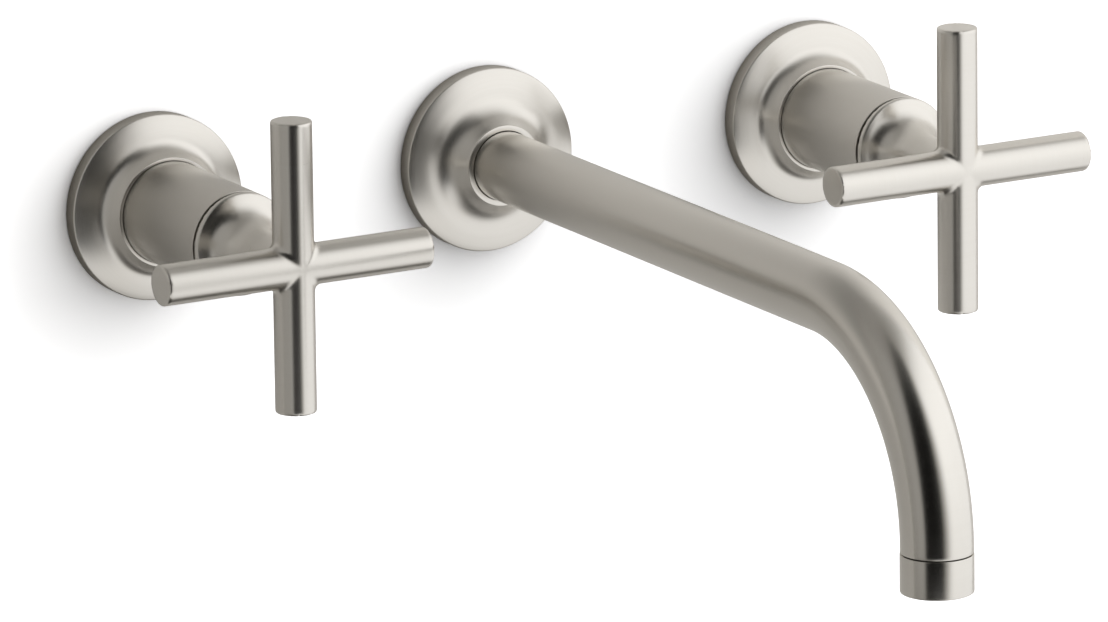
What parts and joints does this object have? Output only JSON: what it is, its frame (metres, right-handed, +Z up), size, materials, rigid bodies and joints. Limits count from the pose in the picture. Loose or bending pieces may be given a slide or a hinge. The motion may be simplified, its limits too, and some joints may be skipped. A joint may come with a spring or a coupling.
{
  "type": "wall mounted bath faucet",
  "caption": "Wall mounted basin faucet: long right-angle spout between cross handles on round flanges, with its in-wall valves and bracket.",
  "frame": {"origin": "centre of the spout flange's back face, on the finished wall plane", "axes": "+X to the right seen from the room, +Z up, +Y into the wall (the spout points along -Y)"},
  "size_m": [0.2818, 0.3091, 0.1053],
  "materials": {
    "brushed_nickel": "brushed warm nickel plate on brass, satin, grain running round the turned parts and along the rods",
    "brass": "as-machined rough-in brass",
    "copper": "drawn copper tube, slightly dulled",
    "steel": "zinc plated or stainless steel",
    "rubber": "black rubber, matte",
    "foam": "closed-cell foam, matte",
    "ceramic": "lapped alumina ceramic",
    "nylon": "natural moulded nylon or acetal"
  },
  "bodies": {
    "fixed_body": {"spout_flange": "brushed_nickel", "spout_flange_gasket": "foam", "spout_flange_oring": "rubber", "spout_tube": "brushed_nickel", "spout_set_screw": "steel", "spout_nipple": "brass", "spout_oring_front": "rubber", "spout_oring_rear": "rubber", "aerator_housing": "brushed_nickel", "aerator_insert": "nylon", "aerator_washer": "rubber", "spout_tee": "brass", "mounting_bracket": "steel", "crossover_tube_hot": "copper", "tube_nut_hot_tee": "brass", "tube_nut_hot_valve": "brass", "hot_flange": "brushed_nickel", "hot_flange_gasket": "foam", "hot_flange_oring": "rubber", "hot_sleeve": "brushed_nickel", "hot_handle_bushing": "nylon", "hot_valve_body": "brass", "hot_bracket_screw_upper": "steel", "hot_bracket_screw_lower": "steel", "hot_supply_adapter": "brass", "hot_cartridge_housing": "brass", "hot_disc_fixed": "ceramic", "hot_seat_seal": "rubber", "crossover_tube_cold": "copper", "tube_nut_cold_tee": "brass", "tube_nut_cold_valve": "brass", "cold_flange": "brushed_nickel", "cold_flange_gasket": "foam", "cold_flange_oring": "rubber", "cold_sleeve": "brushed_nickel", "cold_handle_bushing": "nylon", "cold_valve_body": "brass", "cold_bracket_screw_upper": "steel", "cold_bracket_screw_lower": "steel", "cold_supply_adapter": "brass", "cold_cartridge_housing": "brass", "cold_disc_fixed": "ceramic", "cold_seat_seal": "rubber"},
    "hot_handle_body": {"hot_stem": "brass", "hot_stem_oring": "rubber", "hot_disc_moving": "ceramic", "hot_stem_extension": "brass", "hot_handle": "brushed_nickel", "hot_handle_set_screw": "steel"},
    "cold_handle_body": {"cold_stem": "brass", "cold_stem_oring": "rubber", "cold_disc_moving": "ceramic", "cold_stem_extension": "brass", "cold_handle": "brushed_nickel", "cold_handle_set_screw": "steel"}
  },
  "joints": [
    {"name": "hot_handle_turn", "type": "hinge", "parent": "fixed_body", "child": "hot_handle_body", "pos_m": [-0.1016, -0.081, 0], "axis": [0, -1, 0], "range_deg": [0, 90]},
    {"name": "cold_handle_turn", "type": "hinge", "parent": "fixed_body", "child": "cold_handle_body", "pos_m": [0.1016, -0.081, 0], "axis": [0, -1, 0], "range_deg": [-90, 0]}
  ]
}
